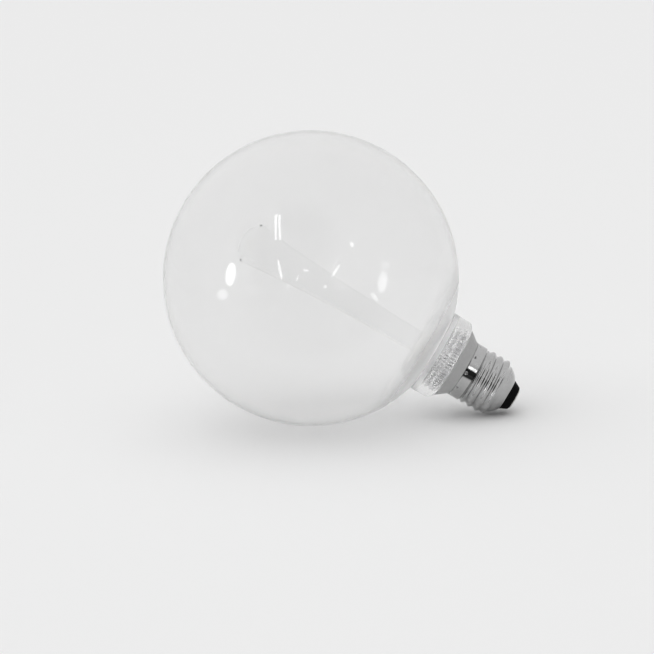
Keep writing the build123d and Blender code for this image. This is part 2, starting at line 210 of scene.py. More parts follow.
handlingMarks = makeHandlingMarks()
mouldGrain = makeMouldGrain()


def treeMath(tree, operation, *values):
    node = tree.nodes.new("ShaderNodeMath")
    node.operation = operation
    for socket, value in zip(node.inputs, values):
        if isinstance(value, (int, float)):
            socket.default_value = value
        else:
            tree.links.new(value, socket)
    return node.outputs[0]


def placeGroup(tree, group, values):
    node = tree.nodes.new("ShaderNodeGroup")
    node.node_tree = group
    for socketName, value in values.items():
        node.inputs[socketName].default_value = value
    return node


def rampBetween(tree, mask, low, high, curve="LINEAR"):
    # a value that runs from low to high with a mask
    ramp = tree.nodes.new("ShaderNodeMapRange")
    ramp.interpolation_type = curve
    ramp.inputs["To Min"].default_value = low
    ramp.inputs["To Max"].default_value = high
    tree.links.new(mask, ramp.inputs["Value"])
    return ramp.outputs["Result"]


def colourBetween(tree, mask, low, high):
    # a colour that runs from low to high with a mask; low is a colour or what another node puts out
    mix = tree.nodes.new("ShaderNodeMix")
    mix.data_type = "RGBA"
    if isinstance(low, tuple):
        mix.inputs["A"].default_value = (*low, 1.0)
    else:
        tree.links.new(low, mix.inputs["A"])
    mix.inputs["B"].default_value = (*high, 1.0)
    tree.links.new(mask, mix.inputs["Factor"])
    return mix.outputs["Result"]


# What a finish has where its own look says nothing
plainLook = {"metallic": 0.0, "ior": 1.5, "clear": 0.0, "frost": 0.0, "relief": 0.0}
frostTint = (0.98, 0.98, 0.98)


def makeFinish(name, ownLook):
    # one Principled finish: colour and roughness follow handling marks, and a grain gives relief
    look = plainLook | ownLook
    material = bpy.data.materials.new(name)
    material.use_nodes = True
    tree = material.node_tree
    surface = next(n for n in tree.nodes if n.type == "BSDF_PRINCIPLED")
    marks = placeGroup(tree, handlingMarks, {"Smear Scale": look["smear"], "Speck Scale": look["speck"]})
    tint = colourBetween(tree, marks.outputs["Mask"], look["colour"], look["worn"])
    gloss = rampBetween(tree, marks.outputs["Mask"], *look["roughness"])
    if look["frost"]:
        frosted = tree.nodes.new("ShaderNodeAttribute")
        frosted.attribute_name = "frost"
        gloss = treeMath(tree, "MULTIPLY_ADD", frosted.outputs["Fac"], look["frost"], gloss)
        tint = colourBetween(tree, frosted.outputs["Fac"], tint, frostTint)
    tree.links.new(tint, surface.inputs["Base Color"])
    tree.links.new(gloss, surface.inputs["Roughness"])
    surface.inputs["Metallic"].default_value = look["metallic"]
    surface.inputs["IOR"].default_value = look["ior"]
    surface.inputs["Transmission Weight"].default_value = look["clear"]
    if look["relief"]:
        grain = placeGroup(tree, mouldGrain, {"Grain Scale": look["grain"]})
        bump = tree.nodes.new("ShaderNodeBump")
        bump.inputs["Strength"].default_value = look["relief"]
        bump.inputs["Distance"].default_value = look["reliefDepth"] * mm
        tree.links.new(grain.outputs["Height"], bump.inputs["Height"])
        tree.links.new(bump.outputs["Normal"], surface.inputs["Normal"])
    if look["clear"]:
        letLampsThrough(tree, surface, look["shade"])
    return material


def letLampsThrough(tree, surface, shade):
    # the lamps and the sky shine through clear walls, which only dim their light a little
    path = tree.nodes.new("ShaderNodeLightPath")
    film = tree.nodes.new("ShaderNodeBsdfTransparent")
    film.inputs["Color"].default_value = (shade, shade, shade, 1.0)
    mix = tree.nodes.new("ShaderNodeMixShader")
    output = next(n for n in tree.nodes if n.type == "OUTPUT_MATERIAL")
    tree.links.new(path.outputs["Is Shadow Ray"], mix.inputs["Fac"])
    tree.links.new(surface.outputs["BSDF"], mix.inputs[1])
    tree.links.new(film.outputs["BSDF"], mix.inputs[2])
    tree.links.new(mix.outputs["Shader"], output.inputs["Surface"])


finishLooks = {
    "clearGlass": {
        "colour": (0.936, 0.936, 0.936), "worn": (0.93, 0.93, 0.93), "roughness": (0.045, 0.06),
        "smear": 14.0, "speck": 220.0, "ior": 1.46, "clear": 0.95, "shade": 0.952, "frost": 0.45,
        "grain": 22.0, "relief": 0.03, "reliefDepth": 0.2,
    },
    "clearAcrylic": {
        "colour": (0.87, 0.87, 0.87), "worn": (0.85, 0.85, 0.85), "roughness": (0.0, 0.03), "smear": 60.0,
        "speck": 500.0, "ior": 1.49, "clear": 0.93, "shade": 0.97, "frost": 0.75,
        "grain": 90.0, "relief": 0.03, "reliefDepth": 0.1,
    },
    "guideAcrylic": {
        "colour": (0.965, 0.965, 0.965), "worn": (0.955, 0.955, 0.955), "roughness": (0.0, 0.02),
        "smear": 40.0, "speck": 400.0, "ior": 1.1, "clear": 1.0, "shade": 0.98, "frost": 0.5,
        "grain": 60.0, "relief": 0.03, "reliefDepth": 0.1,
    },
    "clearAdhesive": {
        "colour": (0.97, 0.97, 0.97), "worn": (0.93, 0.93, 0.93), "roughness": (0.1, 0.25), "smear": 150.0,
        "speck": 900.0, "ior": 1.45, "clear": 1.0, "shade": 0.96,
    },
    "greyPlastic": {
        "colour": (0.42, 0.42, 0.42), "worn": (0.38, 0.38, 0.38), "roughness": (0.34, 0.46), "smear": 80.0,
        "speck": 900.0, "grain": 3500.0, "relief": 0.12, "reliefDepth": 0.05,
    },
    "nickelPlate": {
        "colour": (0.48, 0.48, 0.48), "worn": (0.43, 0.43, 0.43), "roughness": (0.03, 0.08), "smear": 120.0,
        "speck": 1200.0, "metallic": 1.0, "grain": 900.0, "relief": 0.003, "reliefDepth": 0.03,
    },
    "blackInsulator": {
        "colour": (0.004, 0.004, 0.004), "worn": (0.008, 0.008, 0.008), "roughness": (0.3, 0.45),
        "smear": 120.0, "speck": 1500.0, "ior": 1.06, "grain": 2800.0, "relief": 0.1, "reliefDepth": 0.04,
    },
    "tinnedContact": {
        "colour": (0.6, 0.59, 0.56), "worn": (0.46, 0.45, 0.43), "roughness": (0.22, 0.42), "smear": 180.0,
        "speck": 1500.0, "metallic": 1.0, "grain": 1500.0, "relief": 0.15, "reliefDepth": 0.05,
    },
    "pressedAluminium": {
        "colour": (0.66, 0.66, 0.67), "worn": (0.56, 0.56, 0.57), "roughness": (0.16, 0.3), "smear": 90.0,
        "speck": 1200.0, "metallic": 1.0, "grain": 2200.0, "relief": 0.12, "reliefDepth": 0.04,
    },
    "whiteBoard": {
        "colour": (0.85, 0.85, 0.83), "worn": (0.78, 0.78, 0.76), "roughness": (0.35, 0.5), "smear": 120.0,
        "speck": 1600.0, "grain": 3200.0, "relief": 0.08, "reliefDepth": 0.03,
    },
    "ledPhosphor": {
        "colour": (0.86, 0.81, 0.6), "worn": (0.8, 0.74, 0.5), "roughness": (0.3, 0.5), "smear": 300.0,
        "speck": 2500.0, "grain": 4200.0, "relief": 0.15, "reliefDepth": 0.04,
    },
    "thermalPad": {
        "colour": (0.6, 0.62, 0.66), "worn": (0.5, 0.52, 0.56), "roughness": (0.6, 0.8), "smear": 200.0,
        "speck": 1800.0, "grain": 2600.0, "relief": 0.2, "reliefDepth": 0.05,
    },
    "greenBoard": {
        "colour": (0.03, 0.16, 0.07), "worn": (0.045, 0.2, 0.09), "roughness": (0.3, 0.48), "smear": 200.0,
        "speck": 2000.0, "grain": 1800.0, "relief": 0.15, "reliefDepth": 0.05,
    },
    "canSleeve": {
        "colour": (0.02, 0.02, 0.03), "worn": (0.05, 0.05, 0.06), "roughness": (0.25, 0.4), "smear": 200.0,
        "speck": 1600.0, "grain": 1500.0, "relief": 0.1, "reliefDepth": 0.04,
    },
    "filmCoating": {
        "colour": (0.42, 0.07, 0.03), "worn": (0.34, 0.05, 0.02), "roughness": (0.2, 0.4), "smear": 200.0,
        "speck": 1600.0, "grain": 1200.0, "relief": 0.15, "reliefDepth": 0.05,
    },
    "ferrite": {
        "colour": (0.05, 0.05, 0.05), "worn": (0.08, 0.08, 0.08), "roughness": (0.55, 0.75), "smear": 250.0,
        "speck": 2200.0, "grain": 2600.0, "relief": 0.25, "reliefDepth": 0.05,
    },
    "enamelledCopper": {
        "colour": (0.72, 0.36, 0.2), "worn": (0.55, 0.24, 0.12), "roughness": (0.25, 0.4), "smear": 250.0,
        "speck": 2200.0, "metallic": 1.0, "grain": 1800.0, "relief": 0.3, "reliefDepth": 0.06,
    },
    "chipBlack": {
        "colour": (0.02, 0.02, 0.02), "worn": (0.04, 0.04, 0.04), "roughness": (0.45, 0.65), "smear": 250.0,
        "speck": 2500.0, "grain": 4200.0, "relief": 0.2, "reliefDepth": 0.04,
    },
    "resistorCoating": {
        "colour": (0.25, 0.42, 0.5), "worn": (0.2, 0.35, 0.43), "roughness": (0.4, 0.6), "smear": 250.0,
        "speck": 2200.0, "grain": 2600.0, "relief": 0.2, "reliefDepth": 0.05,
    },
    "wireSleeve": {
        "colour": (0.8, 0.8, 0.78), "worn": (0.7, 0.7, 0.68), "roughness": (0.3, 0.45), "smear": 250.0,
        "speck": 2200.0, "grain": 2600.0, "relief": 0.1, "reliefDepth": 0.03,
    },
    "bareLead": {
        "colour": (0.7, 0.69, 0.67), "worn": (0.55, 0.54, 0.52), "roughness": (0.2, 0.4), "smear": 250.0,
        "speck": 2200.0, "metallic": 1.0, "grain": 2600.0, "relief": 0.1, "reliefDepth": 0.03,
    },
}
finishes = {name: makeFinish(name, look) for name, look in finishLooks.items()}
print("finishes made:", len(finishes))

# Stations along the axis from the globe's centre, and radii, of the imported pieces, in millimetres
globeRadius = measureNode("glass_globe")[2]
coneTop, baseFoot, baseRadius = measureNode("crystal_base")
shellStart, shellEnd, crestRadius = measureNode("screw_shell")
insulatorEnd = measureNode("insulator")[1]
contactEnd, contactRadius = measureNode("centre_contact")[1:]
ledBoardStart = measureNode("led_board")[0]
ledge, sinkFlangeRadius = measureNode("heat_sink")[1:]
collarStart, spigotEnd, collarRadius = measureNode("base_collar")


def standsFor(piece, node):
    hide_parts(node)
    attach(piece, "root")


onEdge = 0.01  # a point this close to an edge, in millimetres, counts as on it


def frostMesh(mesh, frostAt):
    # keeps how frosted each point of a mesh is, from 0 to 1
    local = [toLamp @ v.co / mm for v in mesh.vertices]
    values = [float(frostAt(math.hypot(p.x, p.y), p.z)) for p in local]
    mesh.attributes.new("frost", "FLOAT", "POINT").data.foreach_set("value", values)


# Globe: one blown wall with a plain rim at the opening
globe = {
    "wall": 0.9, "openingRadius": 17.2, "arcSteps": 110, "segments": 224, "sharpAngle": 60.0,
    "hazeStart": 50.0, "hazeEnd": 61.6,  # the glass turns hazy towards the neck
}


def makeGlobe():
    inner = globeRadius - globe["wall"]
    rimOut = math.acos(globe["openingRadius"] / globeRadius)
    rimIn = math.acos(globe["openingRadius"] / inner)
    profile = arcPoints((0, 0), globeRadius, -math.pi / 2, rimOut, globe["arcSteps"])
    profile += arcPoints((0, 0), inner, rimIn, -math.pi / 2, globe["arcSteps"])
    profile[0] = (0, -globeRadius)
    profile[-1] = (0, -inner)
    mesh = latheMesh("globe", profile, globe["segments"], globe["sharpAngle"])
    hazeLength = globe["hazeEnd"] - globe["hazeStart"]
    frostMesh(mesh, lambda radius, station: min(max((station - globe["hazeStart"]) / hazeLength, 0.0), 1.0))
    return makePiece("globe", mesh, finishes["clearGlass"])


standsFor(makeGlobe(), "glass_globe")

# Base: a clear moulding with a faceted bore
base = {
    "seatGap": 0.2, "seatWidth": 1.6, "coneClearance": 0.3, "coneDraft": 1.5, "coneRounding": 1.0,
    "footRounding": 3.0, "boreRadius": 9.3, "lipRadius": 8.0, "guideFoot": 1.4,
    "facetCount": 48, "facetRows": 5, "facetStep": 0.2, "facetDepth": 0.8,
    "facetHeight": 10.65, "frostEdge": 3.3, "seatSteps": 8, "sharpAngle": 25.0,
}


def makeBase():
    seatRadius = globeRadius + base["seatGap"]
    coneRoot = baseRadius - base["seatWidth"] - base["coneClearance"]
    lip = coneTop + base["guideFoot"]
    bore = base["boreRadius"]
    seatTurns = math.acos(baseRadius / seatRadius), math.acos(coneRoot / seatRadius)
    seat = arcPoints((0, 0), seatRadius, *seatTurns, base["seatSteps"])
    corners = [
        (coneRoot - base["coneDraft"], coneTop, base["coneRounding"]),
        (bore, coneTop, 0), (bore, lip, 0), (base["lipRadius"], lip, 0),
        (base["lipRadius"], ledBoardStart, 0), (bore, ledBoardStart, 0),
    ]
    facetStart = baseFoot - base["facetHeight"]
    segments = 2 * base["facetCount"]
    levels = 2 * base["facetRows"]
    plainRadius = bore + base["facetStep"]
    outer = roundedProfile([(*seat[0], 0)] + [(*seat[-1], 0)] + corners)[1:]
    foot = roundedProfile([
        (plainRadius, baseFoot, 0), (baseRadius, baseFoot, base["footRounding"]), (*seat[0], 0),
    ])
    outline = seat + outer[1:] + [(bore, facetStart)]
    rings = [ringPoints(radius, station, segments) for radius, station in outline]
    firstFacetRing = len(rings)
    for level in range(levels + 1):
        station = facetStart + (baseFoot - facetStart) * level / levels
        ring = []
        for k in range(segments):
            rise = base["facetDepth"] * (level % 2) * (k % 2)
            ring.append(onLamp(plainRadius + rise, 2 * math.pi * k / segments, station))
        rings.append(ring)
    lastFacetRing = len(rings) - 1
    frostEdge = seat[0][1] + base["frostEdge"]
    for radius, station in foot[1:-1] + [(baseRadius, frostEdge)]:
        rings.append(ringPoints(radius, station, segments))
    form = bmesh.new()
    rings = [[form.verts.new(p) for p in ring] for ring in rings]
    for index, (ring, nextRing) in enumerate(zip(rings, rings[1:] + rings[:1])):
        faceted = firstFacetRing <= index < lastFacetRing
        for k in range(segments):
            cell = [ring[k], ring[(k + 1) % segments], nextRing[(k + 1) % segments], nextRing[k]]
            if not faceted:
                form.faces.new(cell).smooth = True
                continue
            fold = (index - firstFacetRing + k) % 2  # the crease runs from the raised corner
            form.faces.new([cell[fold], cell[fold + 1], cell[fold + 2]])
            form.faces.new([cell[fold], cell[fold + 2], cell[(fold + 3) % 4]])
    bmesh.ops.recalc_face_normals(form, faces=form.faces)
    mesh = bpy.data.meshes.new("crystalBase")
    form.to_mesh(mesh)
    form.free()
    mesh.set_sharp_from_angle(angle=math.radians(base["sharpAngle"]))

    def frostAt(radius, station):
        # the seat and the cone are frosted, and the outside clears from the seat to the frosted edge
        inBore = radius < bore + onEdge and station > ledBoardStart + onEdge
        pastFrost = radius > baseRadius - onEdge and station > frostEdge - onEdge
        return station < seat[-1][1] + onEdge and not inBore and not pastFrost

    frostMesh(mesh, frostAt)
    return makePiece("crystalBase", mesh, finishes["clearAcrylic"])


standsFor(makeBase(), "crystal_base")

# Cement ring between the globe and its seat
cement = {"inner": 17.6, "outer": 18.4, "clear": 0.02, "arcSteps": 4}


def makeCement():
    near = globeRadius + cement["clear"]
    far = globeRadius + base["seatGap"] - cement["clear"]
    profile = []
    for radius, first, last in ((near, "outer", "inner"), (far, "inner", "outer")):
        turns = math.acos(cement[first] / radius), math.acos(cement[last] / radius)
        profile += arcPoints((0, 0), radius, *turns, cement["arcSteps"])
    return makePiece("cementRing", latheMesh("cementRing", profile), finishes["clearAdhesive"])


standsFor(makeCement(), "globe_cement")

# Light guide: a clear rod that flares to a domed end
guide = {
    "footClearance": 0.15, "stemRadius": 4.8, "headRadius": 9.2, "length": 84.7, "dome": 4.2, "steps": 40,
    "domeSteps": 12, "stemHandle": 0.5, "headHandle": 0.25,  # handles of the flare, as shares of the length
}


def makeGuide():
    footRadius = base["boreRadius"] - guide["footClearance"]
    lip = coneTop + base["guideFoot"]
    head = coneTop - guide["length"]
    stem, wide = guide["stemRadius"], guide["headRadius"]
    handles = [
        (stem, coneTop), (stem, coneTop - guide["length"] * guide["stemHandle"]),
        ((stem + wide) / 2, head + guide["length"] * guide["headHandle"]), (wide, head),
    ]
    flare = []
    for step in range(guide["steps"] + 1):
        t = step / guide["steps"]
        weights = ((1 - t) ** 3, 3 * t * (1 - t) ** 2, 3 * t * t * (1 - t), t**3)
        flare.append(tuple(sum(w * h[axis] for w, h in zip(weights, handles)) for axis in (0, 1)))
    domeRadius = (wide**2 + guide["dome"] ** 2) / (2 * guide["dome"])
    domeTurn = math.asin(wide / domeRadius)
    domeCentre = (0, head - guide["dome"] + domeRadius)
    dome = arcPoints(domeCentre, domeRadius, domeTurn - math.pi / 2, -math.pi / 2, guide["domeSteps"])
    dome[-1] = (0, head - guide["dome"])
    profile = [(0, lip), (footRadius, lip), (footRadius, coneTop)] + flare + dome[1:]
    mesh = latheMesh("lightGuide", profile)
    frostMesh(mesh, lambda radius, station: station > coneTop - onEdge and radius > stem + onEdge)
    return makePiece("lightGuide", mesh, finishes["guideAcrylic"])


standsFor(makeGuide(), "light_guide")

# Collar: a grey cone that runs into the cap
collar = {
    "land": 0.4, "neck": 0.6, "neckRounding": 1.6, "clearance": 0.2, "boreRadius": 10.2, "skirtRadius": 12.85,
    "spigotRadius": 11.6, "edge": 0.3, "segments": 128,
}


def makeCollar():
    inner = sinkFlangeRadius + collar["clearance"]
    spigot = collar["spigotRadius"]
    profile = roundedProfile([
        (inner, collarStart, 0),
        (collarRadius, collarStart, collar["edge"]),
        (collarRadius, collarStart + collar["land"], 0),
        (collar["skirtRadius"], shellStart - collar["neck"], collar["neckRounding"]),
        (collar["skirtRadius"], shellStart, collar["edge"]),
        (spigot, shellStart, 0),
        (spigot, spigotEnd, 0),
        (collar["boreRadius"], spigotEnd, 0),
        (collar["boreRadius"], ledge, 0),
        (inner, ledge, 0),
    ])
    return makePiece("collar", latheMesh("collar", profile, collar["segments"]), finishes["greyPlastic"])


standsFor(makeCollar(), "base_collar")

# Screw shell: a turned wall, on which a node tree rolls the thread and punches the stakes
shell = {
    "rootRadius": 12.1, "pitch": 25.4 / 7, "skirtHeight": 5.2, "skirtStep": 0.6,
    "boreRadius": 11.7, "wall": 0.4,
    "shoulderHeight": 5.5, "shoulderInset": 0.5, "shoulderRadius": 9.0, "mouthRadius": 7.15, "edge": 0.3,
    "threadFade": 1.7, "threadRunout": 0.836, "stakeCount": 10, "stakeRadius": 0.7, "stakeDepth": 0.55,
    "stakeSetback": 1.1, "stakeTurn": 10.0, "segments": 320, "rowHeight": 0.16, "boreTaper": 1.6,
    "threadLead": 0.4, "threadTrail": 0.3,  # how far the thread's fades start before its ends
    "stakeFlat": 0.35,  # share of a stake's radius that is its flat floor
    "shoulderSteps": 20, "innerSteps": 10, "sharpAngle": 40.0,
}


def shoulderArc(start, end, radius, steps):
    # an arc that bulges outwards between two section points
    first, last = Vector(start), Vector(end)
    half = (last - first).length / 2
    middle = (first + last) / 2
    inward = Vector((first.y - last.y, last.x - first.x)).normalized()
    centre = middle + inward * math.sqrt(radius**2 - half**2)
    startTurn = math.atan2(first.y - centre.y, first.x - centre.x)
    endTurn = math.atan2(last.y - centre.y, last.x - centre.x)
    return arcPoints(centre, radius, startTurn, endTurn, steps)


def makeShellWall():
    skirtEnd = shellStart + shell["skirtHeight"]
    shoulder = shellEnd - shell["shoulderHeight"]
    root = shell["rootRadius"]
    skirt = collar["skirtRadius"]
    shoulderTop = (root - shell["shoulderInset"], shoulder)
    outer = roundedProfile([
        (shell["boreRadius"], shellStart, 0), (skirt, shellStart, shell["edge"]),
        (skirt, skirtEnd - shell["skirtStep"], 0), (root, skirtEnd, 0),
        (root, shoulder - shell["shoulderInset"], 0), (*shoulderTop, 0),
    ])
    mouth = (shell["mouthRadius"], shellEnd)
    outer += shoulderArc(shoulderTop, mouth, shell["shoulderRadius"], shell["shoulderSteps"])[1:]
    dense = [outer[0]]
    for point in outer[1:]:
        rows = max(1, math.ceil((Vector(point) - Vector(dense[-1])).length / shell["rowHeight"]))
        start = dense[-1]
        for row in range(1, rows + 1):
            dense.append(tuple(start[i] + (point[i] - start[i]) * row / rows for i in (0, 1)))
    innerTop = (shoulderTop[0] - shell["wall"], shoulder)
    innerMouth = (shell["mouthRadius"], shellEnd - shell["wall"])
    innerRadius = shell["shoulderRadius"] - shell["wall"]
    inner = shoulderArc(innerTop, innerMouth, innerRadius, shell["innerSteps"])[::-1]
    inner.append((shell["boreRadius"], shoulder - shell["boreTaper"]))
    mesh = latheMesh("screwShell", dense + inner, shell["segments"], shell["sharpAngle"])
    marks = {
        "station": ("FLOAT", "value", []),
        "turn": ("FLOAT", "value", []),
        "outward": ("FLOAT_VECTOR", "vector", []),
        "outside": ("FLOAT", "value", []),
    }
    outsideCount = len(dense) * shell["segments"]
    for index, vertex in enumerate(mesh.vertices):
        local = toLamp @ vertex.co / mm
        turn = math.atan2(local.y, local.x)
        outward = lampFrame.to_3x3() @ Vector((math.cos(turn), math.sin(turn), 0))
        marks["station"][2].append(local.z)
        marks["turn"][2].append(turn)
        marks["outward"][2].extend(outward)
        marks["outside"][2].append(1.0 if index < outsideCount else 0.0)
    for name, (kind, field, values) in marks.items():
        mesh.attributes.new(name, kind, "POINT").data.foreach_set(field, values)
    return mesh


def treeFade(tree, value, start, end):
    # smooth step from 0 at start to 1 at end
    node = tree.nodes.new("ShaderNodeMapRange")
    node.interpolation_type = "SMOOTHSTEP"
    for name, edge in (("From Min", start), ("From Max", end)):
        if isinstance(edge, (int, float)):
            node.inputs[name].default_value = edge
        else:
            tree.links.new(edge, node.inputs[name])
    tree.links.new(value, node.inputs["Value"])
    return node.outputs["Result"]


def makeRollingTree(inputs, material):
    tree = bpy.data.node_groups.new("rolledThread", "GeometryNodeTree")
    tree.interface.new_socket("Geometry", in_out="INPUT", socket_type="NodeSocketGeometry")
    for name in inputs:
        tree.interface.new_socket(name, in_out="INPUT", socket_type="NodeSocketFloat")
    tree.interface.new_socket("Geometry", in_out="OUTPUT", socket_type="NodeSocketGeometry")
    given = tree.nodes.new("NodeGroupInput").outputs
    result = tree.nodes.new("NodeGroupOutput")

    def stored(name, kind):
        node = tree.nodes.new("GeometryNodeInputNamedAttribute")
        node.data_type = kind
        node.inputs["Name"].default_value = name
        return node.outputs["Attribute"]

    def calc(operation, *values):
        return treeMath(tree, operation, *values)

    station, turn, outside = (stored(name, "FLOAT") for name in ("station", "turn", "outside"))
    # height of the thread: a wave along the axis that climbs one pitch a turn, faded at both ends
    climb = calc("DIVIDE", calc("SUBTRACT", station, given["Crest Station"]), given["Pitch"])
    phase = calc("SUBTRACT", calc("MULTIPLY", climb, 2 * math.pi), calc("SUBTRACT", turn, math.pi))
    wave = calc("COSINE", phase)
    height = calc("MULTIPLY", calc("MULTIPLY_ADD", wave, 0.5, 0.5), given["Thread Height"])
    fadeIn, fadeOut = (
        treeFade(tree, station, given[name], calc("ADD", given[name], given["Fade"]))
        for name in ("Thread Start", "Thread End")
    )
    height = calc("MULTIPLY", height, calc("MULTIPLY", fadeIn, calc("SUBTRACT", 1.0, fadeOut)))
    # depth of the stakes: round dents at even steps about the skirt
    step = calc("DIVIDE", 2 * math.pi, given["Stake Count"])
    ahead, behind = (calc("MULTIPLY", step, share) for share in (0.5, -0.5))
    nearest = calc("WRAP", calc("ADD", turn, given["Stake Turn"]), ahead, behind)
    across = calc("MULTIPLY", nearest, given["Skirt Radius"])
    along = calc("SUBTRACT", station, given["Stake Station"])
    away = calc("SQRT", calc("ADD", calc("MULTIPLY", across, across), calc("MULTIPLY", along, along)))
    flat = calc("MULTIPLY", given["Stake Radius"], given["Stake Flat"])
    dent = calc("SUBTRACT", 1.0, treeFade(tree, away, flat, given["Stake Radius"]))
    rise = calc("SUBTRACT", height, calc("MULTIPLY", dent, given["Stake Depth"]))
    shift = tree.nodes.new("ShaderNodeVectorMath")
    shift.operation = "SCALE"
    tree.links.new(stored("outward", "FLOAT_VECTOR"), shift.inputs["Vector"])
    tree.links.new(calc("MULTIPLY", calc("MULTIPLY", rise, outside), mm), shift.inputs["Scale"])
    move = tree.nodes.new("GeometryNodeSetPosition")
    real = tree.nodes.new("GeometryNodeRealizeInstances")
    paint = tree.nodes.new("GeometryNodeSetMaterial")
    paint.inputs["Material"].default_value = material
    tree.links.new(given["Geometry"], move.inputs["Geometry"])
    tree.links.new(shift.outputs["Vector"], move.inputs["Offset"])
    tree.links.new(move.outputs["Geometry"], real.inputs["Geometry"])
    tree.links.new(real.outputs["Geometry"], paint.inputs["Geometry"])
    tree.links.new(paint.outputs["Geometry"], result.inputs["Geometry"])
    return tree


def growPiece(piece, tree, values):
    # runs a node tree on a piece and leaves a plain mesh, without the marks that the tree has read
    modifier = piece.modifiers.new("grow", "NODES")
    modifier.node_group = tree
    for item in tree.interface.items_tree:
        if item.in_out == "INPUT" and item.name in values:
            modifier[item.identifier] = float(values[item.name])
    evaluated = piece.evaluated_get(bpy.context.evaluated_depsgraph_get())
    grown = bpy.data.meshes.new_from_object(evaluated)
    piece.modifiers.remove(modifier)
    plain = piece.data
    piece.data = grown
    bpy.data.meshes.remove(plain)
    for name in ("station", "turn", "outward", "outside"):
        grown.attributes.remove(grown.attributes[name])
    return piece


def makeShell():
    threadEnd = shellEnd - shell["shoulderHeight"] + shell["threadRunout"]
    values = {
        "Crest Station": threadEnd, "Pitch": shell["pitch"],
        "Thread Height": crestRadius - shell["rootRadius"],
        "Thread Start": shellStart + shell["skirtHeight"] - shell["threadLead"],
        "Thread End": threadEnd - shell["threadTrail"], "Fade": shell["threadFade"],
        "Stake Count": shell["stakeCount"], "Stake Turn": -math.radians(shell["stakeTurn"]),
        "Stake Station": shellStart + shell["stakeSetback"], "Stake Depth": shell["stakeDepth"],
        "Stake Radius": shell["stakeRadius"], "Stake Flat": shell["stakeFlat"],
        "Skirt Radius": collar["skirtRadius"],
    }
    piece = makePiece("screwShell", makeShellWall(), finishes["nickelPlate"])
    return growPiece(piece, makeRollingTree(list(values), finishes["nickelPlate"]), values)


standsFor(makeShell(), "screw_shell")

# Insulator and contact at the end of the cap
capEnd = {
    "plugClearance": 0.05, "plugDepth": 3.2, "plugRadius": 9.33, "lip": 0.4,
    "endRadius": 5.3, "rounding": 0.5,
    "nailRadius": 1.2, "nailClearance": 0.1, "nailLength": 7.0, "contactRounding": 0.3,
}


def makeInsulator():
    plug = shell["mouthRadius"] - capEnd["plugClearance"]
    hole = capEnd["nailRadius"] + capEnd["nailClearance"]
    profile = roundedProfile([
        (hole, shellEnd - capEnd["plugDepth"], 0),
        (capEnd["plugRadius"], shellEnd - capEnd["plugDepth"], 0),
        (plug, shellEnd - capEnd["lip"], 0),
        (plug, shellEnd, 0),
        (capEnd["endRadius"], insulatorEnd, capEnd["rounding"]),
        (hole, insulatorEnd, 0),
    ])
    return makePiece("capInsulator", latheMesh("capInsulator", profile), finishes["blackInsulator"])


def makeContact():
    profile = roundedProfile([
        (0, insulatorEnd - capEnd["nailLength"], 0),
        (capEnd["nailRadius"], insulatorEnd - capEnd["nailLength"], 0),
        (capEnd["nailRadius"], insulatorEnd, 0),
        (contactRadius, insulatorEnd, 0),
        (contactRadius, contactEnd, capEnd["contactRounding"]),
        (0, contactEnd, 0),
    ])
    return makePiece("centreContact", latheMesh("centreContact", profile), finishes["tinnedContact"])


standsFor(makeInsulator(), "insulator")
standsFor(makeContact(), "centre_contact")
print("turned pieces made")

# Finishes of the CAD pieces that stay as they are
innerFinishes = {
    "led_board": "whiteBoard", "led_chips": "ledPhosphor", "thermal_pad": "thermalPad",
    "heat_sink": "pressedAluminium", "driver_board": "greenBoard",
    "smoothing_capacitor": "canSleeve", "film_capacitor": "filmCoating",
    "inductor_core": "ferrite", "inductor_winding": "enamelledCopper", "bridge_rectifier": "chipBlack",
    "fusible_resistor": "resistorCoating", "driver_chip": "chipBlack", "chip_resistors": "chipBlack",
    "led_wires": "wireSleeve", "live_wire": "bareLead", "neutral_wire": "bareLead",
}
for nodeName, finishName in innerFinishes.items():
    for materialSlot in cadNodes[nodeName].material_slots:
        materialSlot.material = finishes[finishName]
print("inner pieces finished:", len(innerFinishes))

# Floor, sky and lamps
studio = {
    "floorRadius": 9.0, "floorSegments": 96, "floorColour": 0.83, "floorMottle": 0.004, "floorGrain": 900.0,
    "floorRoughness": 0.9, "floorGloss": 0.1,
    "litLow": 0.3, "litHigh": 1.42,  # light that falls on the object
    "litAzimuth": -55.0, "litElevation": 66.0,
    "seenHorizon": 0.84, "seenZenith": 0.9,  # what the camera sees, and what glass and metal show
    "paintedReflectionStart": -0.07, "paintedReflectionFade": 0.05, "paintedReflectionMiddle": 0.05, "paintedReflectionInner": 0.25, "paintedReflectionOuter": 1.6,
    "paintedReflectionDark": 0.03,  # painted reflection: a dark patch of floor in front, dark only for rays that metal and glass throw back
}
roomLooks = {
    "doorway": {"azimuth": 5.0, "elevation": 2.0, "inner": 16.0, "outer": 23.0, "dark": 0.03},
    "passage": {"azimuth": -20.0, "elevation": 18.0, "inner": 14.0, "outer": 26.0, "dark": 0.03},
    "ceiling": {"azimuth": -6.0, "elevation": 40.0, "inner": 16.0, "outer": 36.0, "dark": 0.08},
}
plainLamp = {
    "distance": 1.3, "shape": "ELLIPSE", "station": 0.0, "hiddenThroughGlass": False, "globeOnly": False,
}
globeMark = {"hiddenThroughGlass": True, "globeOnly": True}  # a lamp that only the globe mirrors
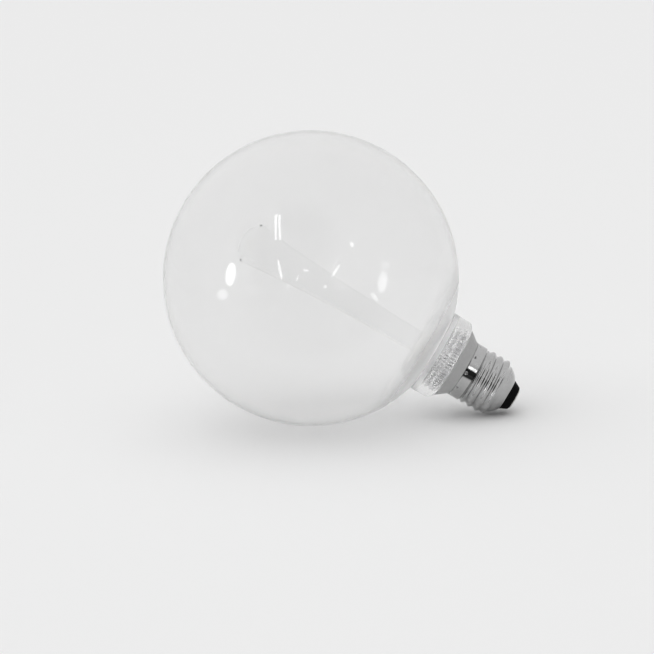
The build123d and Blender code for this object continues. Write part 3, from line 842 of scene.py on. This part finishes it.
lampLooks = {
    "leftWindow": {"low": (-57.3, 3.6), "high": (-56.6, 18.5), "width": 9.0, "radiance": 4.4},
    "leftSill": {"low": (-60.0, -5.0), "high": (-61.6, 1.2), "width": 10.0, "radiance": 1.8, "distance": 0.5},
    "highStripLeft": {
        "low": (-23.2, 39.0), "high": (-32.6, 57.4), "width": 1.7, "radiance": 7.4, "shape": "RECTANGLE",
        **globeMark,
    },
    "highStripRight": {
        "low": (-19.1, 39.0), "high": (-28.4, 57.8), "width": 1.7, "radiance": 7.4, "shape": "RECTANGLE",
        **globeMark,
    },
    "rightSpot": {"low": (44.1, 28.8), "high": (44.1, 32.8), "width": 3.4, "radiance": 3.4},
    "frontDash": {"low": (22.2, 10.6), "high": (29.6, 18.0), "width": 2.2, "radiance": 3.4},
    "frontCard": {
        "low": (17.7, 15.1), "high": (26.7, 25.2), "width": 0.8, "radiance": 2.4, "station": 80.0,
        "hiddenThroughGlass": True,
    },
    "leftTube": {"low": (-14.9, 10.9), "high": (-18.8, 24.9), "width": 1.8, "radiance": 8.6, **globeMark},
    "rightGlint": {
        "low": (52.0, -9.3), "high": (47.0, -3.6), "width": 2.6, "radiance": 4.4, "distance": 0.3,
        **globeMark,
    },
    "frontSpot": {"low": (16.8, 2.7), "high": (16.8, 5.1), "width": 2.4, "radiance": 5.2, **globeMark},
    "frontGlint": {"low": (0.9, 17.1), "high": (5.2, 16.5), "width": 1.6, "radiance": 6.8, **globeMark},
    "frontSliver": {"low": (-4.2, 9.6), "high": (-2.2, 14.0), "width": 1.0, "radiance": 7.6, **globeMark},
}


def pointAround(azimuth, elevation):
    # direction from the bulb to a point round it: azimuth 0 is the viewer's side, positive to the right
    turn, rise = math.radians(azimuth), math.radians(elevation)
    return Vector((math.sin(turn) * math.cos(rise), -math.cos(turn) * math.cos(rise), math.sin(rise)))


def mirroredRay(tree):
    # 1 for a ray that a shiny surface has thrown back, 0 for one that has come through it
    path = tree.nodes.new("ShaderNodeLightPath")
    through = treeMath(tree, "SUBTRACT", 1.0, path.outputs["Is Transmission Ray"])
    return treeMath(tree, "MULTIPLY", path.outputs["Is Glossy Ray"], through)


def makeFloor():
    form = bmesh.new()
    segments, radius = studio["floorSegments"], studio["floorRadius"]
    bmesh.ops.create_circle(form, cap_ends=True, segments=segments, radius=radius)
    mesh = bpy.data.meshes.new("floor")
    form.to_mesh(mesh)
    form.free()
    material = bpy.data.materials.new("paperFloor")
    material.use_nodes = True
    tree = material.node_tree
    surface = next(n for n in tree.nodes if n.type == "BSDF_PRINCIPLED")
    grain = placeGroup(tree, mouldGrain, {"Grain Scale": studio["floorGrain"]})
    dull, pale = (studio["floorColour"] + sign * studio["floorMottle"] for sign in (-1, 1))
    tint = colourBetween(tree, grain.outputs["Height"], (dull,) * 3, (pale,) * 3)
    place = tree.nodes.new("ShaderNodeTexCoord")
    split = tree.nodes.new("ShaderNodeSeparateXYZ")
    tree.links.new(place.outputs["Object"], split.inputs["Vector"])
    # painted reflection: the floor's colour turns dark in a wedge in front of the bulb, but only for rays
    # that a shiny surface has thrown back
    paintedReflectionFull = studio["paintedReflectionStart"] - studio["paintedReflectionFade"]
    paintedReflectionAhead = treeFade(tree, split.outputs["Y"], studio["paintedReflectionStart"], paintedReflectionFull)
    aside = treeMath(tree, "ABSOLUTE", treeMath(tree, "SUBTRACT", split.outputs["X"], studio["paintedReflectionMiddle"]))
    slope = treeMath(tree, "DIVIDE", aside, treeMath(tree, "ABSOLUTE", split.outputs["Y"]))
    between = treeFade(tree, slope, studio["paintedReflectionOuter"], studio["paintedReflectionInner"])
    beyond = treeMath(tree, "MULTIPLY", paintedReflectionAhead, between)
    paintedReflectionMask = treeMath(tree, "MULTIPLY", beyond, mirroredRay(tree))
    tint = colourBetween(tree, paintedReflectionMask, tint, (studio["paintedReflectionDark"],) * 3)
    tree.links.new(tint, surface.inputs["Base Color"])
    surface.inputs["Roughness"].default_value = studio["floorRoughness"]
    surface.inputs["Specular IOR Level"].default_value = studio["floorGloss"]
    floor = makePiece("floor", mesh, material)


def facingPart(tree, place, azimuth, elevation):
    # cosine of the angle between a sky direction and a point of the sky
    facing = tree.nodes.new("ShaderNodeVectorMath")
    facing.operation = "DOT_PRODUCT"
    facing.inputs[1].default_value = pointAround(azimuth, elevation)
    tree.links.new(place.outputs["Generated"], facing.inputs[0])
    return facing.outputs["Value"]


def makeSky():
    world = bpy.data.worlds.new("studioSky")
    world.use_nodes = True
    scene.world = world
    tree = world.node_tree
    background = next(n for n in tree.nodes if n.type == "BACKGROUND")
    place = tree.nodes.new("ShaderNodeTexCoord")
    split = tree.nodes.new("ShaderNodeSeparateXYZ")
    tree.links.new(place.outputs["Generated"], split.inputs["Vector"])
    towardsLight = facingPart(tree, place, studio["litAzimuth"], studio["litElevation"])
    lit = rampBetween(tree, towardsLight, studio["litLow"], studio["litHigh"], "SMOOTHSTEP")
    seen = rampBetween(tree, split.outputs["Z"], studio["seenHorizon"], studio["seenZenith"], "SMOOTHSTEP")
    # the dark room behind the viewer, which only mirrors show
    mirrored = mirroredRay(tree)
    for look in roomLooks.values():
        outer, inner = (math.cos(math.radians(look[k])) for k in ("outer", "inner"))
        patch = treeFade(tree, facingPart(tree, place, look["azimuth"], look["elevation"]), outer, inner)
        room = treeMath(tree, "MULTIPLY", patch, mirrored)
        seen = treeMath(tree, "MULTIPLY", seen, treeMath(tree, "MULTIPLY_ADD", room, look["dark"] - 1.0, 1.0))
    path = tree.nodes.new("ShaderNodeLightPath")
    shown = treeMath(tree, "MAXIMUM", path.outputs["Is Camera Ray"], path.outputs["Is Glossy Ray"])
    shown = treeMath(tree, "MAXIMUM", shown, path.outputs["Is Transmission Ray"])
    level = tree.nodes.new("ShaderNodeMix")
    tree.links.new(shown, level.inputs["Factor"])
    tree.links.new(lit, level.inputs["A"])
    tree.links.new(seen, level.inputs["B"])
    tree.links.new(level.outputs["Result"], background.inputs["Color"])


globeAlone = bpy.data.collections.new("globeAlone")
globeAlone.objects.link(bpy.data.objects["globe"])


def makeLamp(name, ownLook):
    # a flat lamp that faces a point of the bulb's axis and runs from its low end to its high end
    look = plainLamp | ownLook
    low, high = pointAround(*look["low"]), pointAround(*look["high"])
    outward = (low + high).normalized()
    side = (high - low).cross(outward).normalized()
    width = 2 * look["distance"] * math.tan(math.radians(look["width"]) / 2)
    length = 2 * look["distance"] * math.tan(low.angle(high) / 2)
    light = bpy.data.lights.new(name, "AREA")
    light.shape = look["shape"]
    light.size = width
    light.size_y = length
    area = width * length * (math.pi / 4 if look["shape"] == "ELLIPSE" else 1)
    light.energy = look["radiance"] * math.pi * area
    lamp = bpy.data.objects.new(name, light)
    scene.collection.objects.link(lamp)
    pose = Matrix((side, outward.cross(side), outward)).transposed().to_4x4()
    pose.translation = globeCentre + lampAxis * (look["station"] * mm) + outward * look["distance"]
    lamp.matrix_world = pose
    lamp.visible_diffuse = False
    lamp.visible_transmission = not look["hiddenThroughGlass"]
    if look["globeOnly"]:
        lamp.light_linking.receiver_collection = globeAlone


makeFloor()
makeSky()
for lampName, lampLook in lampLooks.items():
    makeLamp(lampName, lampLook)
print("floor, sky and lamps placed")

# Camera: looks at a point beside the globe's centre, from the picture's own side
cameraLook = {
    "azimuth": -6.42, "elevation": 12.0, "roll": -4.0, "distance": 0.9, "aimRight": 6.96, "aimUp": -21.06,
    "lens": 114.26, "sensor": 36.0, "clipStart": 0.01,
}


def makeCamera():
    turn, rise, roll = (math.radians(cameraLook[k]) for k in ("azimuth", "elevation", "roll"))
    forward = Vector((math.sin(turn) * math.cos(rise), math.cos(turn) * math.cos(rise), -math.sin(rise)))
    right = Vector((math.cos(turn), -math.sin(turn), 0))
    up = right.cross(forward)
    rolledRight = right * math.cos(roll) + up * math.sin(roll)
    rolledUp = up * math.cos(roll) - right * math.sin(roll)
    target = globeCentre + (rolledRight * cameraLook["aimRight"] + rolledUp * cameraLook["aimUp"]) * mm
    camera = bpy.data.cameras.new("camera")
    camera.sensor_width = cameraLook["sensor"]
    camera.lens = cameraLook["lens"]
    camera.clip_start = cameraLook["clipStart"]
    holder = bpy.data.objects.new("camera", camera)
    scene.collection.objects.link(holder)
    pose = Matrix((rolledRight, rolledUp, -forward)).transposed().to_4x4()
    pose.translation = target - forward * cameraLook["distance"]
    holder.matrix_world = pose
    scene.camera = holder


makeCamera()
print("camera placed")
